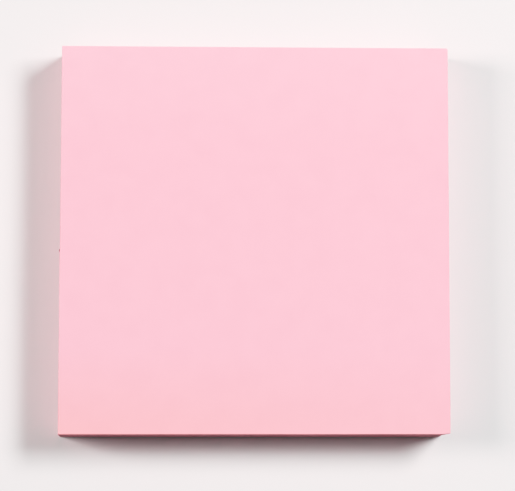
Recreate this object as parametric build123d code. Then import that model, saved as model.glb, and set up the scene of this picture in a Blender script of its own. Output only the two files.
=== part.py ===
from build123d import *
import os

# Sticky note pad: a block of square paper notes, each held to the one below by a strip of
# repositionable adhesive along its back edge, on a backing sheet that covers the last strip.
# Millimetres. X runs across the pad, +Y towards the glued edge, +Z up.
# Origin: middle of the underside, the face that the pad rests on.

# Notes: the block is cut as one, so that every note has the same outline
note_width = 76.0  # along X
note_length = 76.0  # along Y, from the free edge to the glued edge
note_thickness = 0.1  # one note with its share of the adhesive
note_count = 100

# Backing sheet: coated paper, cut flush with the notes
backing_thickness = 0.15

# Wear: the glued edge's right-hand corner is rubbed round from top to bottom
worn_corner_radius = 0.35

# Wear: the free edge's right-hand corner is crushed round in the lower notes; higher up the
# crushing runs out, so that the top note still has its corner
crushed_corner_radius = 1.6
crushed_corner_run_out = 4.0
top_corner_radius = 0.1

stack_height = note_count * note_thickness
pad_height = backing_thickness + stack_height
right_edge = note_width / 2
free_edge = -note_length / 2


def missing_corner(radius, height):
    """What a rounding of this radius takes off the crushed corner, as a face at one height."""
    outside = 1.0  # how far the face reaches past the block on both sides
    centre = (right_edge - radius, free_edge + radius)
    rounding = CenterArc(centre, radius, 270, 90)
    rim = Polyline(
        rounding @ 1,
        (right_edge + outside, free_edge + radius),
        (right_edge + outside, free_edge - outside),
        (right_edge - radius, free_edge - outside),
        rounding @ 0,
    )
    return Pos(0, 0, height) * make_face(rounding + rim)


def crushed_corner():
    """All that is missing at the crushed corner, from the underside to the top note."""
    run_out_start = pad_height - crushed_corner_run_out
    lower = extrude(missing_corner(crushed_corner_radius, 0), run_out_start, dir=(0, 0, 1))
    upper = loft(
        [
            missing_corner(crushed_corner_radius, run_out_start),
            missing_corner(top_corner_radius, pad_height),
        ],
        ruled=True,
    )
    return lower + upper


def cut_block(bottom, height):
    """A block of paper as the guillotine leaves it, with its two worn corners."""
    block = Pos(0, 0, bottom) * Box(
        note_width,
        note_length,
        height,
        align=(Align.CENTER, Align.CENTER, Align.MIN),
    )
    corners = block.edges().filter_by(Axis.Z)
    glued_right_corner = corners.sort_by(Axis.X)[-2:].sort_by(Axis.Y)[-1]
    return fillet(glued_right_corner, worn_corner_radius) - crushed_corner()


def make_note_stack():
    """All the notes as one block."""
    return cut_block(backing_thickness, stack_height)


def make_backing_sheet():
    """The sheet under the last note, in full contact with it."""
    return cut_block(0, backing_thickness)


pieces = {
    "note_stack": make_note_stack(),
    "backing_sheet": make_backing_sheet(),
}

os.makedirs("parts", exist_ok=True)
for node, shape in pieces.items():
    shape.label = node
    export_step(shape, f"parts/{node}.step")
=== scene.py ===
import bpy, math, random
from mathutils import Matrix, Vector, noise


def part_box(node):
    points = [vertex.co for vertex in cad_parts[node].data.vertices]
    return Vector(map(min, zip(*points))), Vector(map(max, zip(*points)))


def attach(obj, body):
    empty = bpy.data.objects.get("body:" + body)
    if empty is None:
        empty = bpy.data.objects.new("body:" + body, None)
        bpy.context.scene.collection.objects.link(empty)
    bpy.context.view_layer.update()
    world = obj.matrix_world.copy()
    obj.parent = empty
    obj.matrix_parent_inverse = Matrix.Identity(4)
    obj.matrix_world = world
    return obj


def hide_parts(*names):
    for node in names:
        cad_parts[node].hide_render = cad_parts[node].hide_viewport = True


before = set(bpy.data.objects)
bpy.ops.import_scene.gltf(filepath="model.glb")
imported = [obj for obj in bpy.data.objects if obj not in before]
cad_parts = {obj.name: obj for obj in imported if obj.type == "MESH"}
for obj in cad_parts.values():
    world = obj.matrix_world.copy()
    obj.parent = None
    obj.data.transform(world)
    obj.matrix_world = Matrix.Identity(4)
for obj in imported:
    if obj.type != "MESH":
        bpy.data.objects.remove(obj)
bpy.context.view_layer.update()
mm = 0.001  # lengths below are in millimetres unless a note says otherwise
print("frame loaded, nodes:", sorted(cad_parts))


def linearColour(hexCode):
    # sRGB hex to the linear colour that shaders use, opaque
    parts = [int(hexCode[i:i + 2], 16) / 255 for i in (1, 3, 5)]
    return [c / 12.92 if c <= 0.04045 else ((c + 0.055) / 1.055) ** 2.4 for c in parts] + [1.0]


def addNode(tree, kind, settings=None, inputs=None, links=None):
    # one node with its settings, its socket values and what feeds its sockets; a socket goes by
    # its name, or by its number where names repeat: a Mix node takes its two colours at 6 and 7
    # and gives the mixed one at output 2
    node = tree.nodes.new(kind)
    for name, value in (settings or {}).items():
        setattr(node, name, value)
    for name, value in (inputs or {}).items():
        node.inputs[name].default_value = value
    for name, source in (links or {}).items():
        tree.links.new(source, node.inputs[name])
    return node


def newMaterial(name):
    material = bpy.data.materials.new(name)
    material.use_nodes = True
    material.node_tree.nodes.clear()
    return material, material.node_tree


def smooth(start, end, value):
    # 0 before start, 1 after end, and an S curve between them
    t = min(max((value - start) / (end - start), 0.0), 1.0)
    return t * t * (3 - 2 * t)


def ripple(x, y=0.0, z=0.0):
    # smooth noise between -1 and 1, the same on every run
    return noise.noise(Vector((x, y, z)))


# Uncoated woodfree paper, dyed pink in the pulp: matt and soft, with faint clouds where the
# pulp lies thicker and short fibres that catch the light. Painted shade makes its face warmer
# and darker near the free edge, most at the left, and painted light makes it a shade paler
# towards the glued edge.
paper = {
    "face": "#FFB9C8",
    # the face with painted shade, for the free edge
    "facePaintedShade": "#FFB4BB",
    # the face with painted light, a shade paler, for the glued edge
    "facePaintedLight": "#FFBDCC",
    "paintedShadeBand": 17.0,  # mm, how far the painted shade reaches in from the free edge
    "paintedShadeRight": 0.5,  # how much of it is left at the right-hand side
    "paintedLightBand": 20.0,  # mm, how far the painted light reaches in from the glued edge
    "cloud": 0.022,  # how much darker the clouds are
    "edge": "#FFB0BE",
    "edgeDark": "#F59DAF",
    "knifeMark": "#FFC6D1",
    "knifeMarkStrength": 0.26,
    # the colour of the dark speck on the left-hand side
    "darkFleck": "#544542",
    "roughness": (0.84, 0.93),
    "edgeRoughness": 0.95,
    "ior": 1.47,
    "cloudSize": 5.0,  # mm, pulp clouds are 2 to 8 mm
    "fibreSize": 0.35,  # mm; real fibres are 0.03 mm wide and are drawn coarser so that they show
    "fibreHeight": 0.006,  # mm
    "streakLength": 16.0,  # mm, uneven stretches along a note's cut edge
    "streakHeight": 0.3,  # mm, three notes, because one is too thin to show
    "grainSize": 0.25,  # mm, torn fibre ends, coarser than real for the same reason
    "grainHeight": 0.02,  # mm
    "knifeSpacing": 0.7,  # mm, marks of nicks in the knife, fewer and wider than real ones
    "knifeLength": 21.0,  # mm, longer than the side is tall, so most marks run right down it
    "knifeSlant": 12.0,  # degrees off upright, because the knife comes down at a slant
}


def pinkPaperFace():
    material, tree = newMaterial("woodfreePaperPink")
    where = addNode(tree, "ShaderNodeTexCoord").outputs["Object"]
    place = addNode(tree, "ShaderNodeSeparateXYZ", links={"Vector": where})
    freeEdge, gluedEdge = stackLow.y * mm, stackHigh.y * mm
    # painted shade: the face grows warmer and darker towards the free edge, most at the left
    acrossPaintedShade = addNode(
        tree, "ShaderNodeMapRange",
        inputs={
            "From Min": stackLow.x * mm, "From Max": stackHigh.x * mm,
            "To Min": 1.0, "To Max": paper["paintedShadeRight"],
        },
        links={"Value": place.outputs["X"]},
    )
    paintedShade = addNode(
        tree, "ShaderNodeMapRange",
        inputs={
            "From Min": freeEdge, "From Max": freeEdge + paper["paintedShadeBand"] * mm,
            "To Max": 0.0,
        },
        links={"Value": place.outputs["Y"], "To Min": acrossPaintedShade.outputs["Result"]},
    )
    # painted light: the face grows paler towards the glued edge
    glued = addNode(
        tree, "ShaderNodeMapRange",
        inputs={"From Min": gluedEdge - paper["paintedLightBand"] * mm, "From Max": gluedEdge},
        links={"Value": place.outputs["Y"]},
    )
    paintedShadeSheet = addNode(
        tree, "ShaderNodeMix", {"data_type": "RGBA"},
        inputs={6: linearColour(paper["face"]), 7: linearColour(paper["facePaintedShade"])},
        links={"Factor": paintedShade.outputs["Result"]},
    )
    sheet = addNode(
        tree, "ShaderNodeMix", {"data_type": "RGBA"},
        inputs={7: linearColour(paper["facePaintedLight"])},
        links={"Factor": glued.outputs["Result"], 6: paintedShadeSheet.outputs[2]},
    )
    clouds = addNode(
        tree, "ShaderNodeTexNoise",
        inputs={"Scale": 1 / (paper["cloudSize"] * mm), "Detail": 3.0, "Roughness": 0.55},
        links={"Vector": where},
    )
    shade = addNode(
        tree, "ShaderNodeMapRange",
        inputs={"From Min": 0.3, "From Max": 0.62, "To Min": 1 - paper["cloud"], "To Max": 1.0},
        links={"Value": clouds.outputs["Fac"]},
    )
    colour = addNode(
        tree, "ShaderNodeMix", {"data_type": "RGBA", "blend_type": "MULTIPLY"},
        inputs={"Factor": 1.0},
        links={6: sheet.outputs[2], 7: shade.outputs["Result"]},
    )
    smoothest, roughest = paper["roughness"]
    roughness = addNode(
        tree, "ShaderNodeMapRange",
        inputs={"From Min": 0.3, "From Max": 0.7, "To Min": roughest, "To Max": smoothest},
        links={"Value": clouds.outputs["Fac"]},
    )
    fibres = addNode(
        tree, "ShaderNodeTexNoise",
        inputs={"Scale": 1 / (paper["fibreSize"] * mm), "Detail": 2.0, "Distortion": 1.2},
        links={"Vector": where},
    )
    bump = addNode(
        tree, "ShaderNodeBump",
        inputs={"Strength": 0.6, "Distance": paper["fibreHeight"] * mm},
        links={"Height": fibres.outputs["Fac"]},
    )
    shader = addNode(
        tree, "ShaderNodeBsdfPrincipled",
        inputs={"IOR": paper["ior"], "Diffuse Roughness": 0.4},
        links={
            "Base Color": colour.outputs[2],
            "Roughness": roughness.outputs["Result"],
            "Normal": bump.outputs["Normal"],
        },
    )
    addNode(tree, "ShaderNodeOutputMaterial", links={"Surface": shader.outputs["BSDF"]})
    return material


def pinkPaperEdge():
    # the same paper where the guillotine cut it: every note has a tone of its own, light
    # caught between the notes makes the colour deeper, nicks in the knife have left slanted
    # paler marks down the side, and the speck is coloured dark
    material, tree = newMaterial("woodfreePaperPinkCutEdge")
    where = addNode(tree, "ShaderNodeTexCoord").outputs["Object"]
    tone = addNode(tree, "ShaderNodeAttribute", {"attribute_name": "noteTone"}).outputs["Fac"]
    speck = addNode(tree, "ShaderNodeAttribute", {"attribute_name": "speck"}).outputs["Fac"]
    streakLength, streakHeight = paper["streakLength"] * mm, paper["streakHeight"] * mm
    alongEdge = addNode(
        tree, "ShaderNodeMapping", {"vector_type": "TEXTURE"},
        inputs={"Scale": (streakLength, streakLength, streakHeight)},
        links={"Vector": where},
    )
    streaks = addNode(
        tree, "ShaderNodeTexNoise",
        inputs={"Scale": 1.0, "Detail": 4.0, "Roughness": 0.6},
        links={"Vector": alongEdge.outputs["Vector"]},
    )
    unevenTone = addNode(
        tree, "ShaderNodeMath", {"operation": "MULTIPLY_ADD"},
        inputs={1: 0.7},
        links={0: streaks.outputs["Fac"], 2: tone},
    )
    lightness = addNode(
        tree, "ShaderNodeMapRange",
        inputs={"From Min": 0.0, "From Max": 0.65},
        links={"Value": unevenTone.outputs["Value"]},
    )
    layers = addNode(
        tree, "ShaderNodeMix", {"data_type": "RGBA"},
        inputs={6: linearColour(paper["edgeDark"]), 7: linearColour(paper["edge"])},
        links={"Factor": lightness.outputs["Result"]},
    )
    slant = math.radians(paper["knifeSlant"])
    knifeSpacing, knifeLength = paper["knifeSpacing"] * mm, paper["knifeLength"] * mm
    downTheSide = addNode(
        tree, "ShaderNodeMapping", {"vector_type": "TEXTURE"},
        inputs={"Rotation": (slant, slant, 0), "Scale": (knifeSpacing, knifeSpacing, knifeLength)},
        links={"Vector": where},
    )
    knife = addNode(
        tree, "ShaderNodeTexNoise",
        inputs={"Scale": 1.0, "Detail": 2.0, "Roughness": 0.5},
        links={"Vector": downTheSide.outputs["Vector"]},
    )
    marks = addNode(
        tree, "ShaderNodeMapRange",
        inputs={"From Min": 0.5, "From Max": 0.75, "To Max": paper["knifeMarkStrength"]},
        links={"Value": knife.outputs["Fac"]},
    )
    marked = addNode(
        tree, "ShaderNodeMix", {"data_type": "RGBA"},
        inputs={7: linearColour(paper["knifeMark"])},
        links={"Factor": marks.outputs["Result"], 6: layers.outputs[2]},
    )
    # the speck is coloured dark
    flecked = addNode(
        tree, "ShaderNodeMix", {"data_type": "RGBA"},
        inputs={7: linearColour(paper["darkFleck"])},
        links={"Factor": speck, 6: marked.outputs[2]},
    )
    grain = addNode(
        tree, "ShaderNodeTexNoise",
        inputs={"Scale": 1 / (paper["grainSize"] * mm), "Detail": 3.0},
        links={"Vector": where},
    )
    relief = addNode(
        tree, "ShaderNodeMath", {"operation": "ADD"},
        links={0: grain.outputs["Fac"], 1: marks.outputs["Result"]},
    )
    bump = addNode(
        tree, "ShaderNodeBump",
        inputs={"Strength": 0.7, "Distance": paper["grainHeight"] * mm},
        links={"Height": relief.outputs["Value"]},
    )
    shader = addNode(
        tree, "ShaderNodeBsdfPrincipled",
        inputs={"Roughness": paper["edgeRoughness"], "IOR": paper["ior"], "Diffuse Roughness": 0.6},
        links={"Base Color": flecked.outputs[2], "Normal": bump.outputs["Normal"]},
    )
    addNode(tree, "ShaderNodeOutputMaterial", links={"Surface": shader.outputs["BSDF"]})
    return material


# The block of notes, cut as one by a guillotine. Lengths are in millimetres.
notes = {
    "count": 100,
    "trimAcross": 0.17,  # the notes' cut edge stands this far inside the block's envelope
    "trimAlong": 0.075,
    "glueBand": 16.0,  # width of the adhesive strip along the back edge
    "settle": 0.22,  # how much lower the loose ends lie than the glued edge, but for open seams
    "drift": 0.02,  # how far neighbouring notes wander off together
    "driftPerNote": 0.09,  # how quickly that changes: 1 would make each note wander by itself
    "scatter": 0.007,  # how far each lies off by itself
    "twist": 0.03,  # how far the lowest notes are turned at their corners
    "wobble": 0.0003,  # radians, how unevenly the notes are turned besides
    "gluedPlay": 0.35,  # they lie off by this share of it at the glued edge, by all at the free
    "slips": {  # now and then one note has slipped by itself: across and along
        14: (0.022, -0.01),
        31: (-0.02, 0.012),
        46: (0.0, -0.02),
        63: (0.02, 0.0),
        88: (-0.018, -0.014),
    },
    "groupTone": 0.5,  # how much lighter or darker neighbouring notes are together
    "tonePerNote": 0.31,  # how quickly that changes
    "ownTone": 0.25,  # and each note by itself
    "edgeWave": 0.008,  # how far a cut edge swings in and out
    "edgeWaveLength": 12.5,
    "edgeWavePerNote": 0.35,  # how quickly the swing changes from note to note
    "topWave": 0.012,  # how uneven the top note lies
    "topWaveLength": 14.0,
    "outOfSquare": 0.20,  # how much shorter the block is cut at its right-hand side
    "leftStep": 0.06,  # the left-hand side stands this much further out towards the free edge
    "leftStepLength": 1.0,
    "leftTaper": 0.06,  # and draws in by this much from the speck to the glued edge
    "cornerRub": 0.14,  # the free edge is rubbed back this much at its right-hand corner
    "cornerRubLength": 1.8,
    "seam": 0.018,  # the gap that shows between two cut edges
    "seamDepth": 0.22,
    # seams that stand open at the loose ends: the note below, where (-1 is the left-hand side
    # and 1 the right-hand side) and how wide
    "openSeams": [
        (9, -0.9, 0.035), (22, 0.5, 0.03), (35, -0.4, 0.045), (47, 0.95, 0.04), (58, -0.95, 0.05),
        (71, 0.1, 0.035), (83, 0.9, 0.05), (91, -0.8, 0.04), (96, 0.9, 0.05), (98, -0.95, 0.06),
    ],
    "openSeamReach": 1.1,  # half widths of the block, from its widest place to where it is shut
    "openSeamDepth": 14.0,  # an open seam goes deeper by this many times its opening
    "wornCorner": 0.35,  # radius, at the glued edge's right-hand corner
    "crushedCorner": 1.6,  # radius of the lower notes at the free edge's right-hand corner
    "topCorner": 0.1,  # the top note's radius there
    "crushRunOut": 4.0,  # the depth over which the one grows into the other
    "speckFromFreeEdge": 35.7,  # a dark fleck that sticks out of the left-hand side
    "speckRadius": 0.27,
    "speckOut": 0.165,
    "speckNotes": (89, 97),  # the first and the last note that it sticks to
    "seed": 7,
}
random.seed(notes["seed"])

stackLow, stackHigh = (Vector(corner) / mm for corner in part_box("note_stack"))
halfWidth = (stackHigh.x - stackLow.x) / 2 - notes["trimAcross"]
halfLength = (stackHigh.y - stackLow.y) / 2 - notes["trimAlong"]
stackHeight = stackHigh.z - stackLow.z
speckY = stackLow.y + notes["speckFromFreeEdge"]


def gridLines(half, closeTo=None):
    # lines across the block, about 3 mm apart and closer along the edges and around the speck
    spacing, nearEdge = 3.0, [0.0, 0.12, 0.35, 0.8, 1.4, 2.1, 2.8, 4.2]
    nearSpeck, clearOfSpeck = [0.1, 0.2, 0.35, 0.7], 1.2
    lines = [half - inward for inward in nearEdge] + [inward - half for inward in nearEdge]
    inner = half - nearEdge[-1]
    steps = round(2 * inner / spacing)
    lines += [-inner + 2 * inner * k / steps for k in range(1, steps)]
    if closeTo is not None:
        lines = [line for line in lines if abs(line - closeTo) > clearOfSpeck]
        lines += [closeTo] + [closeTo + off for off in nearSpeck] + [closeTo - off for off in nearSpeck]
    return sorted(lines)


# each note lies a little off the one below: how far across and along, and how far it is turned
noteOffsets = []
for i in range(notes["count"]):
    along = i * notes["driftPerNote"]  # the number after it only picks a stretch of the noise
    slipX, slipY = notes["slips"].get(i, (0.0, 0.0))
    noteOffsets.append((
        notes["drift"] * ripple(along, 3.1) + random.uniform(-1, 1) * notes["scatter"] + slipX,
        notes["drift"] * ripple(along, 8.7) + random.uniform(-1, 1) * notes["scatter"] + slipY,
        notes["wobble"] * ripple(along, 5.2) - notes["twist"] / halfWidth * (1 - i / notes["count"]),
    ))
# how light each note's cut edge is, around 0
noteTones = [
    notes["groupTone"] * ripple(i * notes["tonePerNote"], 1.7)
    + random.uniform(-1, 1) * notes["ownTone"]
    for i in range(notes["count"])
]


def looseness(y):
    # 0 where the adhesive holds the notes, rising to 1 at the free edge
    return smooth(halfLength - notes["glueBand"], -halfLength, y)


def seamOpening(note, x, y):
    # how far the seam above a note stands open at a point: widest where the list says
    opening = 0.0
    for below, side, gap in notes["openSeams"]:
        if below == note:
            spread = 1 - smooth(0.0, notes["openSeamReach"], abs(x / halfWidth - side))
            opening += gap * spread * looseness(y)
    return opening


def roundCorner(x, y, sideX, sideY, radius):
    # bends the square corner on that side of the block into a quarter circle
    u = (x * sideX - (halfWidth - radius)) / radius
    v = (y * sideY - (halfLength - radius)) / radius
    if u > 0 and v > 0:
        x = sideX * (halfWidth - radius + radius * u * math.sqrt(1 - v * v / 2))
        y = sideY * (halfLength - radius + radius * v * math.sqrt(1 - u * u / 2))
    return x, y


def inSpeck(y, note):
    first, last = notes["speckNotes"]
    return first <= note <= last and abs(y - speckY) < notes["speckRadius"]


def placeInNote(x, y, note):
    # moves a grid point to its place on that note's outline
    depth = (notes["count"] - 1 - note) / notes["count"] * stackHeight
    crushed = min(depth / notes["crushRunOut"], 1.0)
    x, y = roundCorner(x, y, 1, 1, notes["wornCorner"])
    x, y = roundCorner(
        x, y, 1, -1, notes["topCorner"] + (notes["crushedCorner"] - notes["topCorner"]) * crushed,
    )
    closeBy = 0.05  # nearer to the left-hand side than the grid's next line
    if x < -halfWidth + closeBy and inSpeck(y, note):
        x -= notes["speckOut"] * (1 - ((y - speckY) / notes["speckRadius"]) ** 2)
    # the cut along the free edge, its rubbed corner and the left-hand side's slight step
    back = notes["outOfSquare"] * (x / halfWidth + 1) / 2
    back += notes["cornerRub"] * smooth(halfWidth - notes["cornerRubLength"], halfWidth, x)
    y += back * smooth(0, -halfLength, y)
    taper = max(y - speckY, 0.0) / (halfLength - speckY)
    halfStep = notes["leftStepLength"] / 2
    inward = notes["leftStep"] * smooth(speckY - halfStep, speckY + halfStep, y)
    inward += notes["leftTaper"] * taper
    x += inward * smooth(0, -halfWidth, x)
    shiftX, shiftY, turn = noteOffsets[note]
    loose = notes["gluedPlay"] + (1 - notes["gluedPlay"]) * looseness(y)
    waveLength = notes["edgeWaveLength"]  # the 20 only picks another stretch of the noise
    swing = ripple(x / waveLength + 20, y / waveLength, note * notes["edgeWavePerNote"])
    grow = 1 + notes["edgeWave"] * swing / halfWidth
    return (
        x * grow + (shiftX - turn * y) * loose,
        y * grow + (shiftY + turn * x) * loose,
    )


def noteLevels(x, y):
    # heights of the underside and the top of every note at a point
    thickness = (stackHeight - notes["settle"] * looseness(y)) / notes["count"]
    z = stackLow.z
    levels = []
    for i in range(notes["count"]):
        levels.append((z, z + thickness))
        z += thickness + seamOpening(i, x, y)
    return levels


xs, ys = gridLines(halfWidth), gridLines(halfLength, speckY)
lastX, lastY = len(xs) - 1, len(ys) - 1
# the grid points around the outside, and the side each belongs to: front, right, back, left
rim = [(i, 0) for i in range(lastX)] + [(lastX, j) for j in range(lastY)]
rim += [(i, lastY) for i in range(lastX, 0, -1)] + [(0, j) for j in range(lastY, 0, -1)]
sides = [0] * lastX + [1] * lastY + [2] * lastX + [3] * lastY

# where the block's faces lie on the map for its finish: the top note fills a square, the
# underside a smaller one beside it, and the four sides are strips above them
mapLayout = {
    "top": (0.01, 0.01, 0.59),  # left, bottom, size
    "underside": (0.62, 0.01, 0.3),
    "firstStrip": 0.62,
    "stripSpacing": 0.092,
    "stripHeight": 0.085,
    "stripMargin": 0.02,
}


def buildNoteBlock():
    levels = {(i, j): noteLevels(xs[i], ys[j]) for i, j in rim}
    lastNote = notes["count"] - 1
    points = []

    def addRing(note, level):
        # one line around the block: a note's lower edge, its upper edge, or the seam above it
        ring = []
        for i, j in rim:
            x, y = placeInNote(xs[i], ys[j], note)
            low, high = levels[i, j][note]
            if level == "lower":
                z = low
            elif level == "upper":
                z = high - notes["seam"]
            else:
                z = high - notes["seam"] / 2
                inset = notes["seamDepth"] + notes["openSeamDepth"] * seamOpening(note, xs[i], ys[j])
                x -= x / halfWidth * inset
                y -= y / halfLength * inset
            ring.append(len(points))
            points.append((x * mm, y * mm, z * mm))
        return ring

    rings = []
    for note in range(notes["count"]):
        for level in ("lower", "upper", "seam"):
            if (note, level) != (lastNote, "seam"):
                rings.append((addRing(note, level), note))

    # for every face: its corners, its finish (0 sheet face, 1 cut edge), tone, speck and map
    faces, finishes, faceTones, specks, mapped = [], [], [], [], []
    n = len(rim)

    def shareAlong(k, side):
        # how far along its side's strip a point of the rim lies
        i, j = rim[k % n]
        x, y = xs[i], ys[j]
        share = (x / halfWidth, y / halfLength, -x / halfWidth, -y / halfLength)[side]
        margin = mapLayout["stripMargin"]
        return margin + (1 - 2 * margin) * (share + 1) / 2

    for r in range(len(rings) - 1):
        lower, note = rings[r]
        upper = rings[r + 1][0]
        for k in range(n):
            m = (k + 1) % n
            side = sides[k]
            faces.append((lower[k], lower[m], upper[m], upper[k]))
            finishes.append(1)
            faceTones.append(noteTones[note])
            middle = (ys[rim[k][1]] + ys[rim[m][1]]) / 2
            specks.append(1.0 if side == 3 and inSpeck(middle, note) else 0.0)
            base = mapLayout["firstStrip"] + mapLayout["stripSpacing"] * side
            bottom = base + mapLayout["stripHeight"] * r / len(rings)
            top = base + mapLayout["stripHeight"] * (r + 1) / len(rings)
            left, right = shareAlong(k, side), shareAlong(k + 1, side)
            mapped.append(((left, bottom), (right, bottom), (right, top), (left, top)))

    def addSheetFace(ring, note, upward, place):
        # closes the block with the face of its first or last note
        index = {ij: ring[k] for k, ij in enumerate(rim)}
        mapLeft, mapBottom, mapSize = place
        for j in range(1, lastY):
            for i in range(1, lastX):
                x, y = placeInNote(xs[i], ys[j], note)
                z, high = noteLevels(xs[i], ys[j])[note]
                if upward:
                    wave = ripple(x / notes["topWaveLength"], y / notes["topWaveLength"], 4.0)
                    z = high - notes["seam"] + notes["topWave"] * wave
                index[i, j] = len(points)
                points.append((x * mm, y * mm, z * mm))
        for j in range(lastY):
            for i in range(lastX):
                corners = [(i, j), (i + 1, j), (i + 1, j + 1), (i, j + 1)]
                if not upward:
                    corners.reverse()
                faces.append(tuple(index[c] for c in corners))
                finishes.append(0)
                faceTones.append(0.0)
                specks.append(0.0)
                mapped.append(tuple(
                    (
                        mapLeft + mapSize * (xs[a] / halfWidth + 1) / 2,
                        mapBottom + mapSize * (ys[b] / halfLength + 1) / 2,
                    )
                    for a, b in corners
                ))

    addSheetFace(rings[-1][0], lastNote, True, mapLayout["top"])
    addSheetFace(rings[0][0], 0, False, mapLayout["underside"])

    mesh = bpy.data.meshes.new("noteBlock")
    mesh.from_pydata(points, [], faces)
    toneData = mesh.attributes.new("noteTone", "FLOAT", "FACE")
    toneData.data.foreach_set("value", faceTones)
    speckData = mesh.attributes.new("speck", "FLOAT", "FACE")
    speckData.data.foreach_set("value", specks)
    mesh.polygons.foreach_set("material_index", finishes)
    mesh.polygons.foreach_set("use_smooth", [finish == 0 for finish in finishes])
    mapData = mesh.uv_layers.new(name="OFBake")
    mapData.uv.foreach_set(
        "vector", [value for face in mapped for corner in face for value in corner],
    )
    mesh.materials.append(pinkPaperFace())
    mesh.materials.append(pinkPaperEdge())
    mesh.validate()
    mesh.update()
    return mesh


noteBlock = bpy.data.objects.new("noteBlock", buildNoteBlock())
bpy.context.collection.objects.link(noteBlock)
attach(noteBlock, "root")
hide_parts("note_stack")
print("note block made:", len(noteBlock.data.polygons), "faces")


# Release-coated paper: a hard, smooth, off-white sheet with a low sheen. Its coating shows as
# a fine mottle.
backing = {
    "face": "#E9E6DC",
    "cloudDark": "#DDD8CA",
    "roughness": (0.36, 0.5),
    "ior": 1.5,
    "mottle": 1.6,  # mm
    "mottleHeight": 0.004,  # mm
    "bevel": 0.01,  # mm, its lower rim is rubbed this much
}


def releasePaper():
    material, tree = newMaterial("releaseCoatedPaper")
    where = addNode(tree, "ShaderNodeTexCoord").outputs["Object"]
    clouds = addNode(
        tree, "ShaderNodeTexNoise",
        inputs={"Scale": 1 / (backing["mottle"] * mm), "Detail": 4.0},
        links={"Vector": where},
    )
    mottle = addNode(
        tree, "ShaderNodeMapRange",
        inputs={"From Min": 0.3, "From Max": 0.7},
        links={"Value": clouds.outputs["Fac"]},
    )
    colour = addNode(
        tree, "ShaderNodeMix", {"data_type": "RGBA"},
        inputs={6: linearColour(backing["cloudDark"]), 7: linearColour(backing["face"])},
        links={"Factor": mottle.outputs["Result"]},
    )
    smoothest, roughest = backing["roughness"]
    roughness = addNode(
        tree, "ShaderNodeMapRange",
        inputs={"To Min": roughest, "To Max": smoothest},
        links={"Value": mottle.outputs["Result"]},
    )
    bump = addNode(
        tree, "ShaderNodeBump",
        inputs={"Strength": 0.4, "Distance": backing["mottleHeight"] * mm},
        links={"Height": clouds.outputs["Fac"]},
    )
    shader = addNode(
        tree, "ShaderNodeBsdfPrincipled",
        inputs={"IOR": backing["ior"]},
        links={
            "Base Color": colour.outputs[2],
            "Roughness": roughness.outputs["Result"],
            "Normal": bump.outputs["Normal"],
        },
    )
    addNode(tree, "ShaderNodeOutputMaterial", links={"Surface": shader.outputs["BSDF"]})
    return material


def buildBackingSheet():
    # cut together with the notes, so its outline is the lowest note's
    n = len(rim)
    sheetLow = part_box("backing_sheet")[0].z / mm
    points, faces = [], []
    bevel = backing["bevel"]
    levels = ((sheetLow, bevel), (sheetLow + bevel, 0.0), (stackLow.z, 0.0))
    for z, inset in levels:
        for i, j in rim:
            x, y = placeInNote(xs[i], ys[j], 0)
            shrink = 1 - inset / halfWidth
            points.append((x * shrink * mm, y * shrink * mm, z * mm))
    topRing = (len(levels) - 1) * n
    for ring in range(0, topRing, n):
        for k in range(n):
            m = (k + 1) % n
            faces.append((ring + k, ring + m, ring + n + m, ring + n + k))
    faces.append(tuple(range(n - 1, -1, -1)))
    faces.append(tuple(range(topRing, topRing + n)))
    mesh = bpy.data.meshes.new("backingSheet")
    mesh.from_pydata(points, [], faces)
    mesh.materials.append(releasePaper())
    mesh.validate()
    mesh.update()
    return mesh


backingSheet = bpy.data.objects.new("backingSheet", buildBackingSheet())
bpy.context.collection.objects.link(backingSheet)
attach(backingSheet, "root")
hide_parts("backing_sheet")
print("backing sheet made:", len(backingSheet.data.polygons), "faces")


studio = {
    "floor": "#E4E9E9",
    "floorReach": 6.0,  # metres
    "floorGap": 0.01,  # mm, so that the underside and the floor don't share a plane
    "keyAzimuth": 25.6,  # degrees from +X towards +Y
    "keyElevation": 48.7,
    "keyDistance": 0.72,  # metres
    "keySize": (0.316, 0.187),
    "keyPower": 6.13,
    "keyColour": "#FFFFFF",
    "sideAzimuth": 172.0,
    "sideElevation": 36.4,
    "sideDistance": 0.758,
    "sideSize": (0.229, 0.332),
    "sidePower": 5.06,
    "sideColour": "#FFF4F3",
    "fill": 0.0724,
    "backdrop": "#EFEDED",
    "backdropLight": 1.15,
    "sweepStart": 0.13,  # metres from the pad's middle
    "sweepEnd": 0.40,
}


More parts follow.
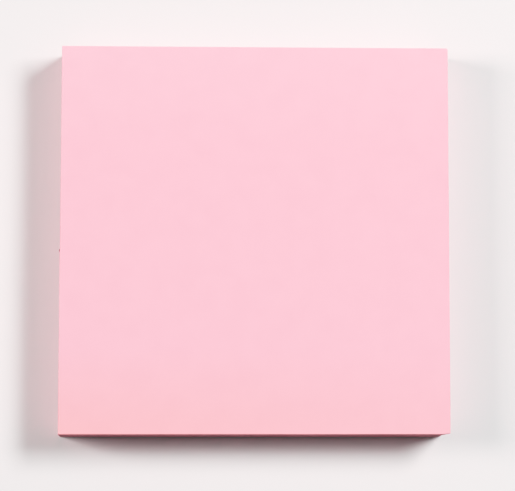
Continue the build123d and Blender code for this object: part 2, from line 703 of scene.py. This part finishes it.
def makeFloor():
    # matt white laminate; far from the pad it passes into the backdrop, as a curved sweep does
    material, tree = newMaterial("mattWhiteTabletop")
    table = addNode(
        tree, "ShaderNodeBsdfPrincipled",
        inputs={"Base Color": linearColour(studio["floor"]), "Roughness": 0.7},
    )
    backdrop = addNode(
        tree, "ShaderNodeEmission",
        inputs={"Color": linearColour(studio["backdrop"]), "Strength": studio["backdropLight"]},
    )
    where = addNode(tree, "ShaderNodeTexCoord").outputs["Object"]
    distance = addNode(tree, "ShaderNodeVectorMath", {"operation": "LENGTH"}, links={0: where})
    fade = addNode(
        tree, "ShaderNodeMapRange", {"interpolation_type": "SMOOTHSTEP"},
        inputs={"From Min": studio["sweepStart"], "From Max": studio["sweepEnd"]},
        links={"Value": distance.outputs["Value"]},
    )
    path = addNode(tree, "ShaderNodeLightPath")
    seen = addNode(
        tree, "ShaderNodeMath", {"operation": "MULTIPLY"},
        links={0: fade.outputs["Result"], 1: path.outputs["Is Camera Ray"]},
    )
    mix = addNode(tree, "ShaderNodeMixShader", links={
        "Fac": seen.outputs["Value"],
        1: table.outputs["BSDF"],
        2: backdrop.outputs["Emission"],
    })
    addNode(tree, "ShaderNodeOutputMaterial", links={"Surface": mix.outputs["Shader"]})
    reach = studio["floorReach"]
    mesh = bpy.data.meshes.new("tabletop")
    corners = [(-reach, -reach), (reach, -reach), (reach, reach), (-reach, reach)]
    mesh.from_pydata([(x, y, -studio["floorGap"] * mm) for x, y in corners], [], [(0, 1, 2, 3)])
    mesh.materials.append(material)
    floor = bpy.data.objects.new("tabletop", mesh)
    bpy.context.collection.objects.link(floor)


def addSoftbox(name):
    # aimed at the pad from where the studio's values for this name put it
    light = bpy.data.lights.new(name + "Softbox", "AREA")
    light.shape = "RECTANGLE"
    light.size, light.size_y = studio[name + "Size"]
    light.energy = studio[name + "Power"]
    light.color = linearColour(studio[name + "Colour"])[:3]
    a, e = math.radians(studio[name + "Azimuth"]), math.radians(studio[name + "Elevation"])
    away = Vector((math.cos(a) * math.cos(e), math.sin(a) * math.cos(e), math.sin(e)))
    lamp = bpy.data.objects.new(name + "Softbox", light)
    lamp.visible_camera = False
    lamp.location = away * studio[name + "Distance"]
    lamp.rotation_euler = (-away).to_track_quat("-Z", "Y").to_euler()
    bpy.context.collection.objects.link(lamp)


def makeWorld():
    world = bpy.data.worlds.new("softRoom")
    bpy.context.scene.world = world
    world.use_nodes = True
    tree = world.node_tree
    tree.nodes.clear()
    fill = addNode(
        tree, "ShaderNodeBackground",
        inputs={"Color": (1, 1, 1, 1), "Strength": studio["fill"]},
    )
    seen = addNode(
        tree, "ShaderNodeBackground",
        inputs={"Color": linearColour(studio["backdrop"]), "Strength": studio["backdropLight"]},
    )
    path = addNode(tree, "ShaderNodeLightPath")
    mix = addNode(tree, "ShaderNodeMixShader", links={
        "Fac": path.outputs["Is Camera Ray"],
        1: fill.outputs["Background"],
        2: seen.outputs["Background"],
    })
    addNode(tree, "ShaderNodeOutputWorld", links={"Surface": mix.outputs["Shader"]})


camera = {
    "lens": 185.45,
    "sensor": 36.0,
    "tilt": 7.0,  # degrees off straight down
    "turn": 14.7,  # degrees, how far round to the left of the free edge's middle it stands
    "distance": 0.515,  # metres
    "roll": 0.04,  # degrees
    "aim": (0.514, -1.21),  # the point of the top note that it looks at
}


def makeCamera():
    data = bpy.data.cameras.new("camera")
    data.lens = camera["lens"]
    data.sensor_width = camera["sensor"]
    tilt, turn = math.radians(camera["tilt"]), math.radians(camera["turn"])
    back = Vector((
        -math.sin(tilt) * math.sin(turn),
        -math.sin(tilt) * math.cos(turn),
        math.cos(tilt),
    ))
    right = Vector((0, 1, 0)).cross(back).normalized()
    up = back.cross(right)
    roll = math.radians(camera["roll"])
    right, up = (
        right * math.cos(roll) + up * math.sin(roll),
        up * math.cos(roll) - right * math.sin(roll),
    )
    aim = Vector((*camera["aim"], stackHigh.z)) * mm
    holder = bpy.data.objects.new("camera", data)
    place = Matrix((right, up, back)).transposed().to_4x4()
    place.translation = aim + back * camera["distance"]
    holder.matrix_world = place
    bpy.context.collection.objects.link(holder)
    bpy.context.scene.camera = holder


# how the render takes its highlights: straight up to the shoulder, then easing towards a
# ceiling, so that the white table and the pale paper keep their tone
response = {
    "shoulder": 0.465,
    "ceilingRed": 1.165,
    "ceiling": 1.046,
    "reach": 1.6,  # the brightest value that the curve covers
    "steps": 12,
    "crowding": 1.5,  # above 1, the curve's points crowd towards the shoulder
}


def setResponse():
    view = bpy.context.scene.view_settings
    view.view_transform = "Standard"
    view.look = "None"
    view.use_curve_mapping = True
    curves = view.curve_mapping
    curves.use_clip = False
    curves.white_level = (response["reach"],) * 3
    shoulder, reach, steps = response["shoulder"], response["reach"], response["steps"]

    def shown(light, ceiling):
        room = ceiling - shoulder
        return shoulder + room * (1 - math.exp(-(light - shoulder) / room))

    ceilings = (response["ceilingRed"], response["ceiling"], response["ceiling"])
    for channel, ceiling in enumerate(ceilings):
        points = curves.curves[channel].points
        for step in range(steps):
            light = shoulder + (reach - shoulder) * (step / steps) ** response["crowding"]
            point = points.new(light / reach, shown(light, ceiling))
            point.handle_type = "VECTOR" if step == 0 else "AUTO"
        points[0].handle_type = "VECTOR"
        points[len(points) - 1].location = (1.0, shown(reach, ceiling))
    curves.update()


makeFloor()
addSoftbox("key")
addSoftbox("side")
makeWorld()
makeCamera()
setResponse()
print("studio made")
